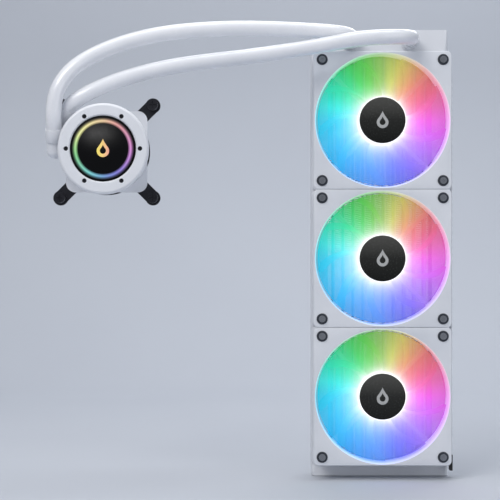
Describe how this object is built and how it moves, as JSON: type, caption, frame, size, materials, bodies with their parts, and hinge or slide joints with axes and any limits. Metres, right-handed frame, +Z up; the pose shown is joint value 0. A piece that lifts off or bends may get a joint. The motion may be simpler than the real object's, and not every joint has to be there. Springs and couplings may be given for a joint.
{
  "type": "liquid cooling radiator",
  "caption": "White sealed liquid cooler: finned radiator with a column of lit fans, two smooth hoses and a round pump head with mirror face and cold plate.",
  "frame": {"origin": "centre of the radiator's rear mounting face, at the middle fan place", "axes": "+Y out of the rear mounting face towards the panel, +Z up along the radiator's length, +X right as seen from the fan side; the pump head hangs on its hoses towards -X"},
  "size_m": [0.3481, 0.124, 0.3954],
  "materials": {
    "radiator_paint": "satin white powder coat",
    "black_plastic": "fine matte",
    "hose_rubber": "smooth semi-gloss white sleeve",
    "white_plastic": "satin moulded white",
    "black_screw": "black oxide",
    "black_washer": "matte black",
    "white_cable": "smooth white jacket",
    "frosted_blade": "frosted translucent, lit from the hub",
    "black_gloss": "polished black",
    "magnet_steel": "dull",
    "bright_steel": "ground",
    "bronze": "sintered",
    "copper": "machined copper",
    "circuit_board": "solder mask",
    "black_mirror": "black mirror",
    "light_diffuser": "milky light guide, rainbow lit",
    "seal_rubber": "matte",
    "ceramic_white": "polished ceramic"
  },
  "bodies": {
    "root": {"radiator_tubes": "radiator_paint", "radiator_fins": "radiator_paint", "header_plate_top": "radiator_paint", "header_plate_bottom": "radiator_paint", "tank_top": "radiator_paint", "tank_divider": "radiator_paint", "tank_bottom": "radiator_paint", "side_channel_left": "radiator_paint", "side_channel_right": "radiator_paint", "radiator_barbs": "radiator_paint", "fill_plug": "black_plastic", "hose_supply": "hose_rubber", "hose_return": "hose_rubber", "hose_ferrules_radiator": "white_plastic", "fan_screws": "black_screw", "fan_washers": "black_washer", "fan_cables": "white_cable", "fan_connectors": "black_plastic", "fan_frame_1": "white_plastic", "fan_frame_2": "white_plastic", "fan_frame_3": "white_plastic", "fan_bearings": "bronze", "fan_stators": "magnet_steel", "fan_windings": "copper", "fan_circuit_boards": "circuit_board"},
    "rotor_top": {"fan_rotor_1": "frosted_blade", "fan_badge_1": "black_gloss", "fan_magnet_1": "magnet_steel", "fan_shaft_1": "bright_steel"},
    "rotor_middle": {"fan_rotor_2": "frosted_blade", "fan_badge_2": "black_gloss", "fan_magnet_2": "magnet_steel", "fan_shaft_2": "bright_steel"},
    "rotor_bottom": {"fan_rotor_3": "frosted_blade", "fan_badge_3": "black_gloss", "fan_magnet_3": "magnet_steel", "fan_shaft_3": "bright_steel"},
    "pump_head": {"hose_ferrules_pump": "white_plastic", "pump_body": "white_plastic", "pump_cover_ring": "white_plastic", "pump_cover_screws": "black_screw", "pump_mirror_cap": "black_mirror", "pump_light_ring": "light_diffuser", "pump_circuit_board": "circuit_board", "pump_stator": "copper", "jet_plate": "white_plastic", "cold_plate": "copper", "cold_plate_gasket": "seal_rubber", "cold_plate_screws": "bright_steel", "mounting_bracket": "black_screw", "hose_elbow_lower": "white_plastic", "hose_elbow_upper": "white_plastic", "screw_springs": "bright_steel"},
    "pump_impeller": {"impeller": "white_plastic", "impeller_magnet": "magnet_steel", "impeller_shaft": "ceramic_white"},
    "thumb_screw_1": {"spring_screw_1": "black_screw"},
    "thumb_screw_2": {"spring_screw_2": "black_screw"},
    "thumb_screw_3": {"spring_screw_3": "black_screw"},
    "thumb_screw_4": {"spring_screw_4": "black_screw"}
  },
  "joints": [
    {"name": "fan_top_spin", "type": "hinge", "parent": "root", "child": "rotor_top", "pos_m": [0, -0.0395, 0.12], "axis": [0, 1, 0], "continuous": true},
    {"name": "fan_middle_spin", "type": "hinge", "parent": "root", "child": "rotor_middle", "pos_m": [0, -0.0395, 0], "axis": [0, 1, 0], "continuous": true},
    {"name": "fan_bottom_spin", "type": "hinge", "parent": "root", "child": "rotor_bottom", "pos_m": [0, -0.0395, -0.12], "axis": [0, 1, 0], "continuous": true},
    {"name": "pump_head_lift", "type": "slide", "parent": "root", "child": "pump_head", "axis": [0, -1, 0], "range_m": [0, 0.03], "deforming": ["hose_supply", "hose_return"]},
    {"name": "pump_impeller_spin", "type": "hinge", "parent": "pump_head", "child": "pump_impeller", "pos_m": [-0.2365, -0.094, 0.09], "axis": [0, 1, 0], "continuous": true},
    {"name": "thumb_screw_1_travel", "type": "slide", "parent": "pump_head", "child": "thumb_screw_1", "axis": [0, 1, 0], "range_m": [0, 0.003], "deforming": ["screw_springs"]},
    {"name": "thumb_screw_2_travel", "type": "slide", "parent": "pump_head", "child": "thumb_screw_2", "axis": [0, 1, 0], "range_m": [0, 0.003], "deforming": ["screw_springs"]},
    {"name": "thumb_screw_3_travel", "type": "slide", "parent": "pump_head", "child": "thumb_screw_3", "axis": [0, 1, 0], "range_m": [0, 0.003], "deforming": ["screw_springs"]},
    {"name": "thumb_screw_4_travel", "type": "slide", "parent": "pump_head", "child": "thumb_screw_4", "axis": [0, 1, 0], "range_m": [0, 0.003], "deforming": ["screw_springs"]}
  ]
}
